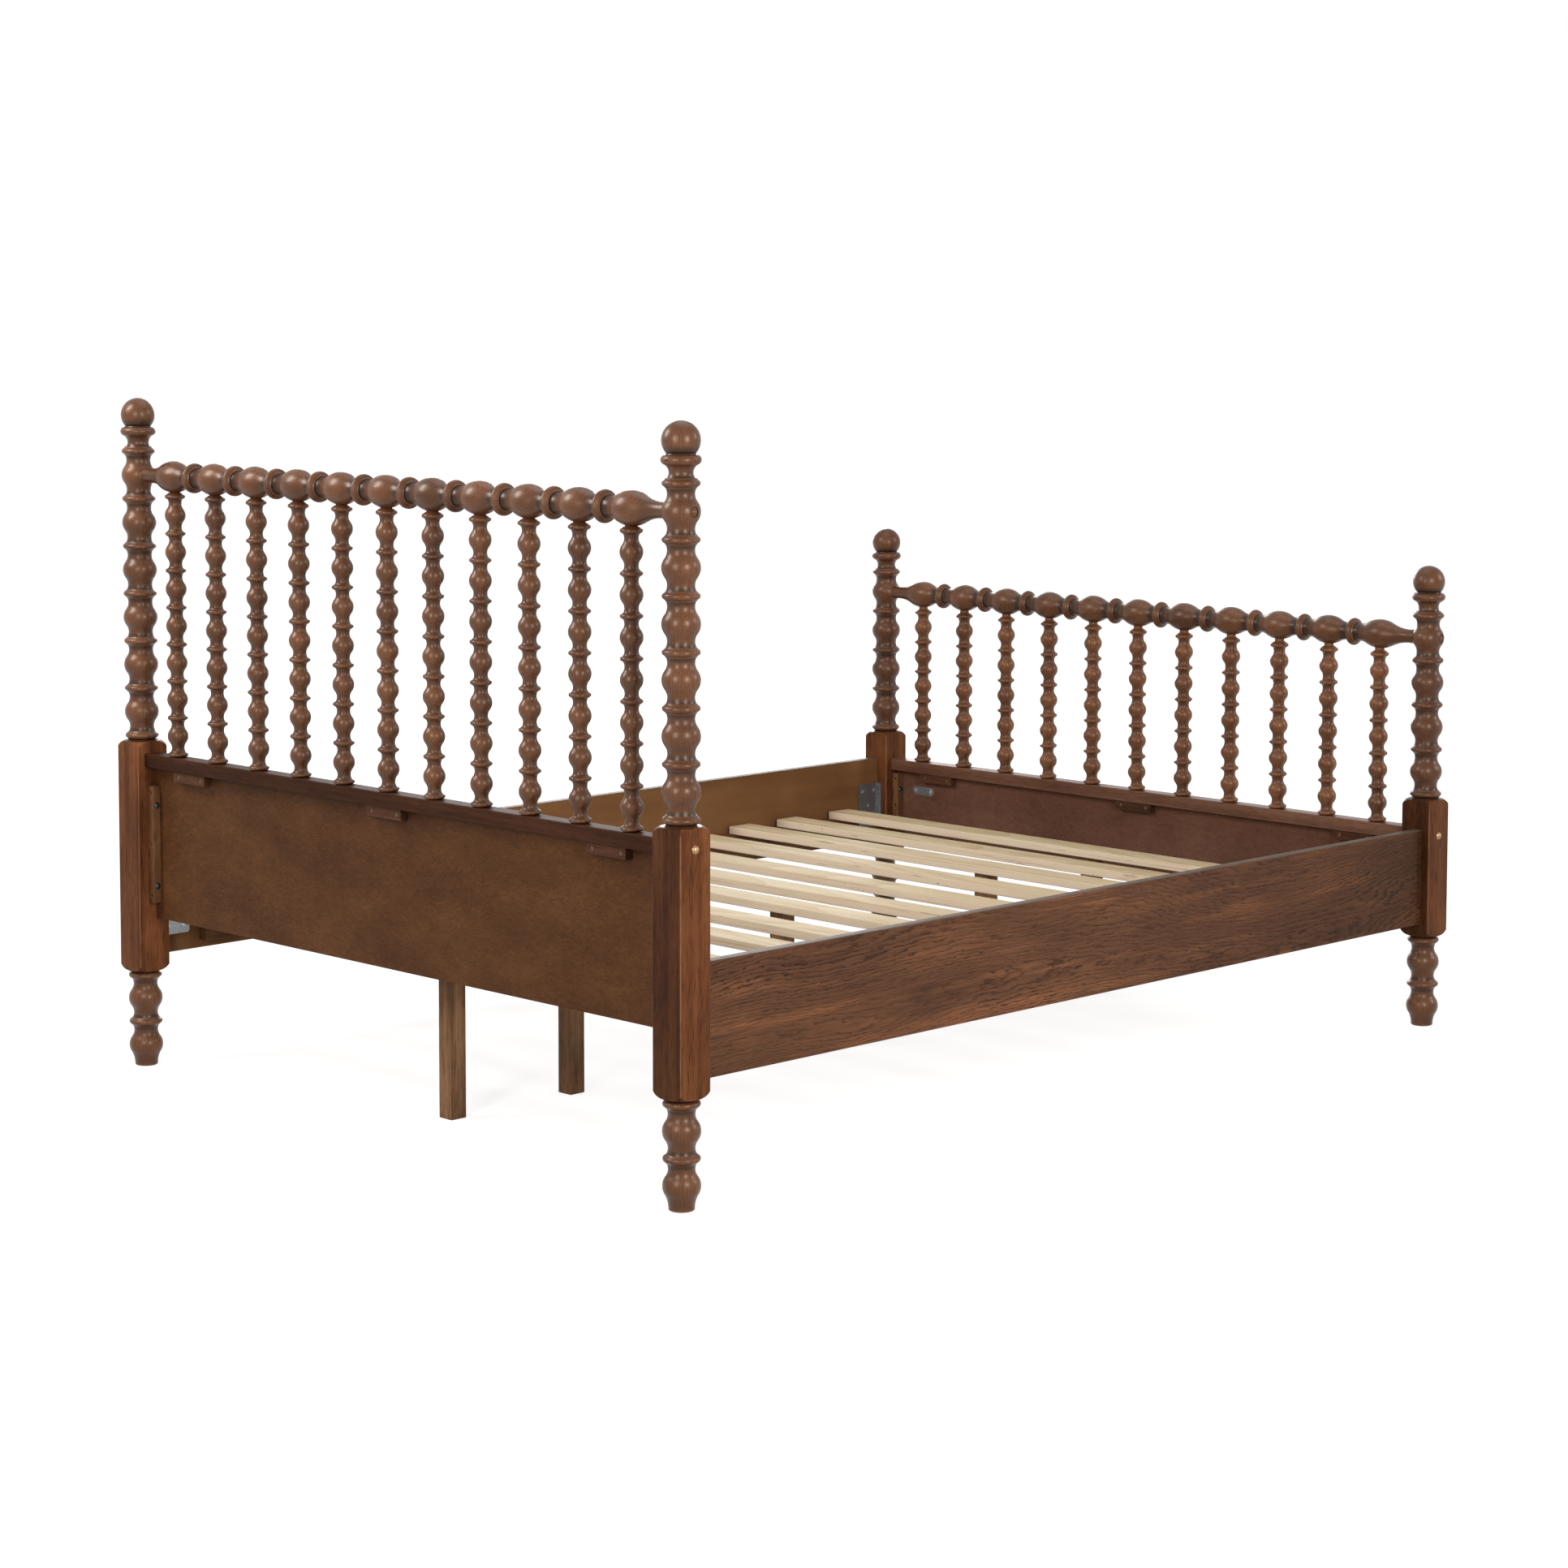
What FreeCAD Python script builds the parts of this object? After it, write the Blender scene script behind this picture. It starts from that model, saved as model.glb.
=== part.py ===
import FreeCAD, Part
import math
import os

from FreeCAD import Vector

# Spindle bed for a 54 by 75 inch mattress, in millimetres. The origin lies on the floor at the
# middle of the footprint, +Y points to the head end and +Z up. Left is the -X side.

# Corner posts, turned from square stock
post_spacing_x = 1425.0
post_spacing_y = 1950.0
post_square = 63.5
post_edge = 2.2
post_pitch = 85.5
post_bead = 30.3
post_ring = 29.7
post_cove = 21.4
post_cove_drop = 16.2
post_ring_lip = 8.0
post_ring_tip = 4.2
post_ring_step = 0.5
head_ring_count = 7
foot_ring_count = 5
shoulder_gap = 8.5
shoulder_radius = 20.0
collar_radius = 26.0
foot_ring_height = 166.0
foot_end_radius = 20.5

# Shape of every ring: how round its tip is and how hollow its flanks are, as shares
ring_rounding = 0.55
ring_hollow = 0.06

# Ball finial on each post
ball_radius = 30.3
ball_rise = 64.8
crown_ring = 31.4
crown_rise = 35.4
crown_round = 7.9
crown_cove = 18.9
crown_cove_rise = 16.0

# Lower rails between the posts
lower_rail_width = 34.0
lower_rail_thickness = 25.0
head_rail_top = 574.0
foot_rail_top = 382.0
head_square_above_rail = 30.0
foot_square_above_rail = 66.0
rail_tenon_length = 20.0
rail_tenon_cheek = 8.0
rail_tenon_shoulder = 4.5

# Turned top rails
top_bead = 28.0
top_ring = 26.5
top_cove = 16.8
top_cove_reach = 15.0
top_ring_lip = 8.6
top_ring_tip = 4.8
top_ring_step = 1.6
top_neck = 12.8
top_neck_reach = 12.0
top_tenon_radius = 13.3
top_tenon_depth = 24.0

# Spindles
spindle_count = 11
spindle_end_gap = 111.5
spindle_bead = 18.4
spindle_ring = 18.1
spindle_cove = 11.2
spindle_cove_drop = 12.0
spindle_ring_lip = 6.2
spindle_ring_tip = 3.0
spindle_neck = 9.2
spindle_base_rise = 4.6
head_spindle_rings = 8
foot_spindle_rings = 6
head_spindle_drop = 34.65
foot_spindle_drop = 39.25
spindle_top_tenon = 14.0
spindle_base_tenon = 16.0
spindle_base_radius = 7.0

# End panels, the blocks above them and the cleats beside them
panel_thickness = 12.0
panel_setback = 4.0
head_panel_bottom = 273.0
foot_panel_bottom = 200.0
cleat_size = 16.0
head_cleat_rise = 30.0
head_cleat_drop = 34.0
foot_cleat_rise = 8.0
foot_cleat_drop = 7.0
block_length = 92.0
block_height = 19.0
block_end_gap = 159.5
block_screw_inset = 13.0

# Side rails, ledgers, slats and centre legs
side_rail_thickness = 20.0
side_rail_bottom = 200.0
side_rail_height = 182.0
side_rail_inset = 17.5
ledger_thickness = 20.0
ledger_height = 50.0
ledger_rise = 15.0
ledger_end_gap = 115.0
slat_count = 12
slat_width = 60.0
slat_thickness = 16.0
slat_end_gap = 158.5
slat_drift = [4, 14, 6, 16, 24, 17, 0, 8, 3, 31, 20, 3]
slat_rail_gap = 8.75
leg_size = 33.0
leg_seat = 24.0

# Rail hooks and the slotted plates they drop into
hook_plate_thickness = 2.0
hook_plate_length = 60.25
hook_plate_height = 95.0
hook_plate_rise = 33.0
hook_plate_corner = 4.0
hook_reach = 13.0
hook_height = 28.0
hook_drop = 9.0
slot_plate_width = 18.0
slot_plate_margin = 8.0

# Bolts, screws and plugs
rail_bolt_radius = 4.0
rail_bolt_grip = 110.0
rail_bolt_head = 7.2
rail_bolt_dome = 4.5
cleat_bolt_radius = 3.0
cleat_bolt_head = 6.2
cleat_bolt_dome = 4.0
cleat_bolt_grip = 34.0
plug_radius = 5.9
plug_rise = 4.4
plug_shank = 4.0
plug_depth = 14.0
plug_seat_radius = 9.2
plug_seat_depth = 2.6
screw_hole = 2.2
screw_sink = 4.4

# Fits
socket_fit = 0.25
socket_clearance = 0.5

# Edge rounding
eased = 1.6
rail_round = 2.5
slat_round = 2.0
batten_round = 1.2

sideways = Vector(1, 0, 0)
lengthways = Vector(0, 1, 0)
top = Vector(0, 0, 1)
post_x = post_spacing_x / 2
post_y = post_spacing_y / 2
post_half = post_square / 2
inner_face = post_x - post_half


class Turning:
    """Outline of a turned piece, drawn as radius against distance along its axis."""

    def __init__(self, radius, along):
        self.edges = []
        self.points = [Vector(radius, 0, along)]

    def line(self, radius, along):
        end = Vector(radius, 0, along)
        if end.distanceToPoint(self.points[-1]) > 1e-6:
            self.edges.append(Part.LineSegment(self.points[-1], end).toShape())
            self.points.append(end)

    def arc(self, middle, end):
        first = self.points[-1]
        last = Vector(end[0], 0, end[1])
        through = Vector(middle[0], 0, middle[1])
        self.edges.append(Part.Arc(first, through, last).toShape())
        self.points.append(last)

    def about(self, centre, end):
        """Arc to the end point about a centre, the short way round."""
        first = self.points[-1]
        start = Vector(first.x - centre[0], 0, first.z - centre[1])
        stop = Vector(end[0] - centre[0], 0, end[1] - centre[1])
        half = start + stop
        half.normalize()
        half = half * start.Length
        self.arc((centre[0] + half.x, centre[1] + half.z), end)

    def hollow(self, radius, along, depth):
        """Arc to the end point that sinks toward the axis by a share of its chord."""
        first = self.points[-1]
        chord = Vector(radius - first.x, 0, along - first.z)
        across = Vector(chord.z, 0, -chord.x)
        if across.x > 0:
            across = across * -1
        middle = (first + Vector(radius, 0, along)) * 0.5 + across * depth
        self.arc((middle.x, middle.z), (radius, along))

    def solid(self):
        start = self.points[0]
        end = self.points[-1]
        foot = Vector(0, 0, end.z)
        head = Vector(0, 0, start.z)
        edges = list(self.edges)
        for first, last in ((end, foot), (foot, head), (head, start)):
            if first.distanceToPoint(last) > 1e-6:
                edges.append(Part.LineSegment(first, last).toShape())
        face = Part.Face(Part.Wire(edges))
        return face.revolve(Vector(0, 0, 0), top, 360)


class Pattern:
    """Sizes of a repeated bead, ring and cove, with the arcs that join them smoothly."""

    def __init__(self, bead, ring, cove, gap, cove_drop, lip, tip, step=0.0, share=0.55):
        self.bead = bead
        self.ring = ring
        self.gap = gap
        self.cove_drop = cove_drop
        self.lip = lip
        self.tip = tip
        self.step = step
        reach = gap - cove_drop
        total = ((bead - cove) ** 2 + reach**2) / (2 * (bead - cove))
        self.bead_arc = share * total
        self.cove_arc = total - self.bead_arc
        self.bead_centre = bead - self.bead_arc
        self.cove_centre = cove + self.cove_arc
        self.join = self.bead_centre + (self.cove_centre - self.bead_centre) * share
        self.join_reach = reach * share
        self.lip_radius = self.cove_centre - math.sqrt(self.cove_arc**2 - (cove_drop - lip) ** 2)

    def draw_ring(self, turn, along, lower_lip=None):
        """Disc with a rounded tip and slightly hollow flanks, from its upper lip to its lower one."""
        low = self.lip if lower_lip is None else lower_lip
        edge = self.ring - ring_rounding * self.tip
        turn.line(self.lip_radius + self.step, along + self.lip)
        turn.hollow(edge, along + self.tip, ring_hollow)
        turn.arc((self.ring, along), (edge, along - self.tip))
        turn.hollow(self.lip_radius + self.step, along - low, ring_hollow)

    def draw_bead(self, turn, along):
        """Cove, bead and cove, from one ring's lower lip to the next one's upper lip."""
        self.draw_upper(turn, along)
        self.draw_lower(turn, along)

    def draw_upper(self, turn, along):
        upper = along + self.gap
        turn.line(self.lip_radius, upper - self.lip)
        turn.about((self.cove_centre, upper - self.cove_drop), (self.join, along + self.join_reach))

    def draw_lower(self, turn, along):
        lower = along - self.gap
        turn.arc((self.bead, along), (self.join, along - self.join_reach))
        turn.about((self.cove_centre, lower + self.cove_drop), (self.lip_radius, lower + self.lip))


def box(x0, x1, y0, y1, z0, z1):
    return Part.makeBox(x1 - x0, y1 - y0, z1 - z0, Vector(x0, y0, z0))


def edges_along(shape, axis):
    return [e for e in shape.Edges if abs(abs(e.tangentAt(e.FirstParameter).dot(axis)) - 1) < 1e-6]


def board(x0, x1, y0, y1, z0, z1, along, round_over=eased):
    """Board with its long edges rounded over; along is the axis that they follow."""
    plain = box(x0, x1, y0, y1, z0, z1)
    return plain.makeFillet(round_over, edges_along(plain, along))


def rod(radius, length, start, axis):
    return Part.makeCylinder(radius, length, start, axis)


def countersunk(start, axis, length):
    """Screw hole with a conical seat at its start."""
    sink = screw_sink - screw_hole
    hole = rod(screw_hole, length, start, axis)
    return hole.fuse(Part.makeCone(screw_sink, screw_hole, sink, start, axis))


def domed_bolt(head, dome, shank, grip):
    """Bolt along +X with a low round head whose seat is at the origin; the shank runs to -X."""
    sphere = (head**2 + dome**2) / (2 * dome)
    turn = Turning(shank, -grip)
    turn.line(shank, 0)
    turn.line(head, 0)
    slant = math.asin(head / sphere) / 2
    turn.arc((sphere * math.sin(slant), dome - sphere + sphere * math.cos(slant)), (0, dome))
    solid = turn.solid()
    solid.rotate(Vector(0, 0, 0), lengthways, 90)
    return solid


def cut_all(body, tools):
    return body.cut(Part.makeCompound(tools)) if tools else body


def mirrored(shape, normal):
    return shape.mirror(Vector(0, 0, 0), normal)


post_pattern = Pattern(
    post_bead,
    post_ring,
    post_cove,
    post_pitch / 2,
    post_cove_drop,
    post_ring_lip,
    post_ring_tip,
    post_ring_step,
)
spindle_pitch = (post_spacing_x - 2 * spindle_end_gap) / (spindle_count - 1)
spindle_x = [(i - (spindle_count - 1) / 2) * spindle_pitch for i in range(spindle_count)]

# The side rails, and the hooks on them, are placed from the posts' outer faces.
rail_outer = post_x + post_half - side_rail_inset
rail_inner = rail_outer - side_rail_thickness
rail_end = post_y - post_half
ledger_bottom = side_rail_bottom + ledger_rise
slat_bottom = ledger_bottom + ledger_height
hook_bottom = side_rail_bottom + hook_plate_rise
hook_x = rail_inner - hook_plate_thickness
hook_levels = [hook_bottom + 0.1 * hook_plate_height, hook_bottom + 0.6 * hook_plate_height]


class End:
    """One end of the bed: the sizes that differ between head and foot."""

    def __init__(self, name, side, rail_top, square_above, ring_count, spindle_rings, spindle_drop):
        self.name = name
        self.side = side
        self.y = side * post_y
        self.rail_top = rail_top
        self.rail_bottom = rail_top - lower_rail_thickness
        self.rail_mid = rail_top - lower_rail_thickness / 2
        self.last_ring = rail_top + square_above
        self.rings = [self.last_ring + post_pitch * i for i in range(ring_count)][::-1]
        self.axis = self.rings[0] - post_pitch / 2
        self.spindle_top = self.axis - spindle_drop
        self.spindle_base = rail_top + spindle_base_rise
        self.spindle_gap = (self.spindle_top - self.spindle_base) / (spindle_rings - 1)
        self.spindle_rings = spindle_rings


head = End(
    "head", 1, head_rail_top, head_square_above_rail, head_ring_count, head_spindle_rings, head_spindle_drop
)
foot = End(
    "foot", -1, foot_rail_top, foot_square_above_rail, foot_ring_count, foot_spindle_rings, foot_spindle_drop
)
head.panel_bottom = head_panel_bottom
foot.panel_bottom = foot_panel_bottom
head.cleat = (head_panel_bottom + head_cleat_rise, head.rail_bottom - head_cleat_drop)
foot.cleat = (foot_panel_bottom + foot_cleat_rise, foot.rail_bottom - foot_cleat_drop)


def cleat_levels(end):
    low, high = end.cleat
    return [low + cleat_size * 1.9, high - cleat_size * 2.2]


def post_blank(end):
    """Turned post about the Z axis, from the ball finial down to the floor."""
    first = end.rings[0]
    turn = Turning(0, first + ball_rise + ball_radius)

    # Ball, sitting on the broad crown ring
    crown = first + crown_rise
    crown_seat = crown_ring - crown_round
    seat = crown + crown_round + 1.6
    dip = first + ball_rise - seat
    ball_edge = math.sqrt(ball_radius**2 - dip**2)
    turn.arc((ball_radius, first + ball_rise), (ball_edge, seat))
    turn.line(crown_seat, crown + crown_round)

    # Crown ring, cove and the first repeated ring
    drop = crown_ring - crown_cove
    fall = crown_rise - crown_cove_rise
    total = (drop**2 + fall**2) / (2 * drop)
    crown_arc = crown_round
    cove_arc = total - crown_arc
    cove_centre = (crown_cove + cove_arc, first + crown_cove_rise)
    share = crown_arc / total
    join = (crown_seat + (cove_centre[0] - crown_seat) * share, crown - fall * share)
    turn.arc((crown_ring, crown), join)
    rise = crown_cove_rise - post_ring_lip
    turn.about(cove_centre, (cove_centre[0] - math.sqrt(cove_arc**2 - rise**2), first + post_ring_lip))

    for i, ring in enumerate(end.rings):
        post_pattern.draw_ring(turn, ring)
        if i < len(end.rings) - 1:
            post_pattern.draw_bead(turn, ring - post_pitch / 2)

    # Collar and rounded shoulder, the full square, and the same again above the foot
    broad = collar_radius + shoulder_radius
    upper = end.last_ring - shoulder_gap
    lower = foot_ring_height + shoulder_gap
    curve = shoulder_radius * math.sqrt(0.5)
    turn.line(collar_radius, end.last_ring - post_ring_lip)
    turn.line(collar_radius, upper)
    turn.arc((collar_radius + curve, upper - shoulder_radius + curve), (broad, upper - shoulder_radius))
    turn.line(broad, lower + shoulder_radius)
    turn.arc((collar_radius + curve, lower + shoulder_radius - curve), (collar_radius, lower))
    turn.line(collar_radius, foot_ring_height + post_ring_lip)

    # Turned foot: ring, bead, ring and a last bead that tapers to the floor
    post_pattern.draw_ring(turn, foot_ring_height)
    post_pattern.draw_bead(turn, foot_ring_height - post_pitch / 2)
    second = foot_ring_height - post_pitch
    post_pattern.draw_ring(turn, second)
    last = second - post_pitch / 2
    post_pattern.draw_upper(turn, last)
    turn.arc((post_bead, last), (post_pattern.join, last - post_pattern.join_reach))
    turn.hollow(foot_end_radius, 1.5, 0.06)
    turn.line(foot_end_radius - 1.5, 0)
    return turn.solid()


def squared(turned, height):
    """Keep what the turning leaves of the square stock."""
    stock = box(-post_half, post_half, -post_half, post_half, -1, height)
    return turned.common(stock.makeFillet(post_edge, edges_along(stock, top)))


def hook_claws(fit):
    """The two claws behind the slotted plate, on the +X, +Y corner; fit widens them to a pocket."""
    claws = []
    for level in hook_levels:
        x0 = hook_x - fit
        x1 = rail_inner + fit
        throat = rail_end + hook_plate_thickness
        arm = box(x0, x1, rail_end - 1, throat + hook_reach + fit, level - fit, level + hook_height + fit)
        notch_top = level + hook_drop - fit
        notch = box(x0 - 1, x1 + 1, rail_end - 2, throat + 1.5 - fit, level - fit - 1, notch_top)
        claws.append(arm.cut(notch) if fit == 0 else arm)
    return claws


def make_post(end):
    """Post on the +X side of one end, with every socket that its neighbours need."""
    height = end.rings[0] + ball_rise + ball_radius + 10
    solid = squared(post_blank(end), height)
    tools = []

    # Round socket for the top rail, square mortise for the lower one
    tenon = top_tenon_radius + socket_fit
    reach = post_bead - top_tenon_depth - 0.5
    tools.append(rod(tenon, 60, Vector(-reach - 60, 0, end.axis), sideways))
    half = lower_rail_width / 2 - rail_tenon_cheek + socket_fit
    tall = lower_rail_thickness / 2 - rail_tenon_shoulder + socket_fit
    depth = -post_half + rail_tenon_length + 1
    tools.append(box(-post_half - 5, depth, -half, half, end.rail_mid - tall, end.rail_mid + tall))

    # Holes for the rail bolt, the wooden plug and the cleat's bolts
    bolt = rail_bolt_radius + socket_fit
    tools.append(rod(bolt, post_square + 20, Vector(-post_half - 10, 0, end.rail_mid), sideways))
    plug = plug_shank + socket_fit
    seat = post_bead - plug_seat_depth
    tools.append(rod(plug, 40, Vector(seat - plug_depth - socket_clearance, 0, end.axis), sideways))
    tools.append(rod(plug_seat_radius, 40, Vector(seat, 0, end.axis), sideways))
    bolt = cleat_bolt_radius + socket_fit
    length = cleat_bolt_grip - cleat_size + 1
    for level in cleat_levels(end):
        start = Vector(-post_half - 5, bolt_y(end) - end.y, level)
        tools.append(rod(bolt, length + 5, start, sideways))
    solid = cut_all(solid, tools)

    # Recess for the slotted plate and a pocket behind it for each claw
    plate = slot_plate_shape(socket_fit)
    pockets = hook_claws(1.2)
    recess = [plate] + pockets
    moved = []
    for piece in recess:
        piece = piece.copy() if end.side > 0 else mirrored(piece, lengthways)
        piece.translate(Vector(-post_x, -end.y, 0))
        moved.append(piece)
    solid = cut_all(solid, moved)
    solid.translate(Vector(post_x, end.y, 0))
    return solid


def slot_plate_shape(fit):
    """Blank of the plate let into the post's face, on the +X, +Y corner."""
    middle = (hook_x + rail_inner) / 2
    half = slot_plate_width / 2 + fit
    low = hook_bottom - fit
    high = hook_bottom + hook_plate_height + fit
    return box(middle - half, middle + half, rail_end, rail_end + hook_plate_thickness + fit, low, high)


def make_slot_plate():
    plate = slot_plate_shape(0)
    slots = []
    for level in hook_levels:
        x0 = hook_x - 0.8
        x1 = rail_inner + 0.8
        low = level + hook_drop - 0.5
        slots.append(box(x0, x1, rail_end - 1, rail_end + 10, low, level + hook_height + 3))
    return cut_all(plate, slots)


def make_hook_plate():
    """Steel plate on the inner face of the rail's end, with two claws past the end."""
    body = box(
        hook_x,
        rail_inner,
        rail_end - hook_plate_length,
        rail_end,
        hook_bottom,
        hook_bottom + hook_plate_height,
    )
    corners = [e for e in edges_along(body, sideways) if e.CenterOfMass.y < rail_end - 1]
    body = body.makeFillet(hook_plate_corner, corners)
    holes = []
    for level, backs in hook_screws():
        for back in backs:
            holes.append(rod(screw_hole, 10, Vector(hook_x - 4, rail_end - back, level), sideways))
    return cut_all(body.fuse(hook_claws(0)), holes).removeSplitter()


def hook_screws():
    """Rows of screws on the plate: height, and distances from the rail's end."""
    high = hook_bottom + hook_plate_height - 15
    low = hook_bottom + 17
    near = 14
    far = hook_plate_length - 12
    return [(high, [near, far]), ((high + low) / 2, [(near + far) / 2]), (low, [near, far])]


def bolt_y(end):
    return end.y - panel_setback + cleat_size / 2


def make_top_rail(end):
    """Turned rail: a long bead over each spindle, a ring between beads, tapered ends."""
    pattern = Pattern(
        top_bead,
        top_ring,
        top_cove,
        spindle_pitch / 2,
        top_cove_reach,
        top_ring_lip,
        top_ring_tip,
        top_ring_step,
    )
    tenon_end = post_x - post_bead + top_tenon_depth
    neck = post_x - post_bead - top_neck_reach
    first = spindle_x[-1]
    reach = neck - first
    total = ((top_bead - top_neck) ** 2 + reach**2) / (2 * (top_bead - top_neck))
    bead_arc = 0.42 * total
    neck_arc = total - bead_arc
    join = (top_bead - bead_arc + (top_neck + total - top_bead) * 0.42, reach * 0.42)
    neck_centre = (top_neck + neck_arc, neck)

    turn = Turning(top_tenon_radius - 1, tenon_end)
    turn.line(top_tenon_radius, tenon_end - 1)
    turn.line(top_tenon_radius, neck + top_neck_reach * 0.6)
    turn.line(top_neck, neck)
    turn.about(neck_centre, (join[0], first + join[1]))
    turn.arc((top_bead, first), (pattern.join, first - pattern.join_reach))
    lower = first - spindle_pitch / 2
    turn.about((pattern.cove_centre, lower + top_cove_reach), (pattern.lip_radius, lower + top_ring_lip))
    for x in spindle_x[-2:0:-1]:
        pattern.draw_ring(turn, x + spindle_pitch / 2)
        pattern.draw_bead(turn, x)
    last = spindle_x[0]
    pattern.draw_ring(turn, last + spindle_pitch / 2)
    pattern.draw_upper(turn, last)
    turn.arc((top_bead, last), (join[0], last - join[1]))
    turn.about((neck_centre[0], -neck), (top_neck, -neck))
    turn.line(top_tenon_radius, -neck - top_neck_reach * 0.6)
    turn.line(top_tenon_radius, 1 - tenon_end)
    turn.line(top_tenon_radius - 1, -tenon_end)
    solid = turn.solid()
    solid.rotate(Vector(0, 0, 0), lengthways, 90)
    solid.translate(Vector(0, end.y, end.axis))
    hole = spindle_neck + socket_fit
    depth = top_bead - spindle_top_tenon - 0.5
    sockets = [rod(hole, 60, Vector(x, end.y, end.axis - depth - 60), top) for x in spindle_x]
    return cut_all(solid, sockets)


def make_spindle(end):
    """One spindle about the Z axis: tenon, neck, rings and beads, base ring, tenon."""
    pattern = Pattern(
        spindle_bead,
        spindle_ring,
        spindle_cove,
        end.spindle_gap / 2,
        spindle_cove_drop,
        spindle_ring_lip,
        spindle_ring_tip,
    )
    tip = end.axis - top_bead + spindle_top_tenon
    flare = pattern.lip_radius - spindle_neck
    turn = Turning(spindle_neck - 1, tip)
    turn.line(spindle_neck, tip - 1)
    turn.line(spindle_neck, end.spindle_top + spindle_ring_lip + flare)
    turn.hollow(pattern.lip_radius, end.spindle_top + spindle_ring_lip, 0.2)
    for i in range(end.spindle_rings - 1):
        ring = end.spindle_top - end.spindle_gap * i
        pattern.draw_ring(turn, ring)
        pattern.draw_bead(turn, ring - end.spindle_gap / 2)
    pattern.draw_ring(turn, end.spindle_base, spindle_base_rise)
    turn.line(spindle_base_radius, end.rail_top)
    turn.line(spindle_base_radius, end.rail_top - spindle_base_tenon + 1)
    turn.line(spindle_base_radius - 1, end.rail_top - spindle_base_tenon)
    return turn.solid()


def make_lower_rail(end):
    half = lower_rail_width / 2
    y0 = end.y - half
    y1 = end.y + half
    body = board(-inner_face, inner_face, y0, y1, end.rail_bottom, end.rail_top, sideways, rail_round)
    cheek = half - rail_tenon_cheek
    tall = lower_rail_thickness / 2 - rail_tenon_shoulder
    reach = inner_face + rail_tenon_length
    tenons = box(-reach, reach, end.y - cheek, end.y + cheek, end.rail_mid - tall, end.rail_mid + tall)
    body = body.fuse(tenons).removeSplitter()
    hole = spindle_base_radius + socket_fit
    low = end.rail_top - spindle_base_tenon - 0.5
    tools = [rod(hole, 60, Vector(x, end.y, low), top) for x in spindle_x]
    length = rail_bolt_grip - post_square + 2
    for side in (-1, 1):
        start = Vector(side * (inner_face - length), end.y, end.rail_mid)
        tools.append(rod(rail_bolt_radius + socket_fit, length + 60, start, Vector(side, 0, 0)))
    return cut_all(body, tools)


def make_panel(end):
    back = end.y - panel_setback
    return box(-inner_face, inner_face, back - panel_thickness, back, end.panel_bottom, end.rail_bottom)


def make_cleat(end):
    """Square batten on the +X post's inner face, behind the panel's edge."""
    back = end.y - panel_setback
    low, high = end.cleat
    body = board(inner_face - cleat_size, inner_face, back, back + cleat_size, low, high, top, batten_round)
    tools = []
    bolt = cleat_bolt_radius + socket_fit
    for level in cleat_levels(end):
        start = Vector(inner_face - cleat_size - 2, bolt_y(end), level)
        tools.append(rod(bolt, cleat_size + 4, start, sideways))
    middle = (low + high) / 2
    for level in (middle, low + cleat_size * 0.8, high - cleat_size * 0.8):
        start = Vector(inner_face - cleat_size / 2, back + cleat_size, level)
        tools.append(countersunk(start, Vector(0, -1, 0), cleat_size))
    return cut_all(body, tools)


def make_block(end, x):
    """Glue block in the corner between the panel's back and the rail above it."""
    back = end.y - panel_setback
    half = block_length / 2
    low = end.rail_bottom - block_height
    body = board(x - half, x + half, back, back + cleat_size, low, end.rail_bottom, sideways, batten_round)
    tools = []
    for side in (-1, 1):
        start = Vector(x + side * (half - block_screw_inset), back + cleat_size, low + block_height / 2)
        tools.append(countersunk(start, Vector(0, -1, 0), cleat_size))
    tools.append(countersunk(Vector(x, back + cleat_size / 2, low), top, block_height))
    return cut_all(body, tools)


def make_side_rail():
    z0 = side_rail_bottom
    body = board(rail_inner, rail_outer, -rail_end, rail_end, z0, z0 + side_rail_height, lengthways)
    holes = []
    for level, backs in hook_screws():
        for back in backs:
            for side in (-1, 1):
                start = Vector(rail_inner, side * (rail_end - back), level)
                holes.append(rod(screw_hole, 14, start, sideways))
    for y in ledger_screws():
        start = Vector(rail_inner, y, ledger_bottom + ledger_height / 2)
        holes.append(rod(screw_hole, 14, start, sideways))
    return cut_all(body, holes)


def ledger_screws():
    reach = post_y - ledger_end_gap - 45
    return [reach * (i / 4 - 1) for i in range(9)]


def make_ledger():
    reach = post_y - ledger_end_gap
    z0 = ledger_bottom
    inside = rail_inner - ledger_thickness
    body = board(inside, rail_inner, -reach, reach, z0, slat_bottom, lengthways, batten_round)
    holes = []
    for y in ledger_screws():
        start = Vector(inside, y, z0 + ledger_height / 2)
        holes.append(countersunk(start, sideways, ledger_thickness))
    return cut_all(body, holes)


slat_reach = rail_inner - slat_rail_gap
slat_pitch = (post_spacing_y - 2 * slat_end_gap) / (slat_count - 1)
slat_y = []
for i in range(slat_count):
    # The slats lie loose on the ledgers, each a little off the even spacing.
    slat_y.append((i - (slat_count - 1) / 2) * slat_pitch + slat_drift[i % len(slat_drift)])

# Each leg stands under a slat, centred or with leg_seat of its width under the slat's edge.
leg_reach = (slat_width + leg_size) / 2 - leg_seat
leg_places = [(0, -1), (2, 0), (6, -1), (9, 1), (slat_count - 1, 1)]


def make_slat(y):
    half = slat_width / 2
    upper = slat_bottom + slat_thickness
    return board(-slat_reach, slat_reach, y - half, y + half, slat_bottom, upper, sideways, slat_round)


def make_leg(y):
    half = leg_size / 2
    body = board(-half, half, y - half, y + half, 0, slat_bottom, top)
    foot_edges = [e for e in body.Edges if max(v.Z for v in e.Vertexes) < 0.01]
    return body.makeChamfer(1.2, foot_edges)


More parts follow.
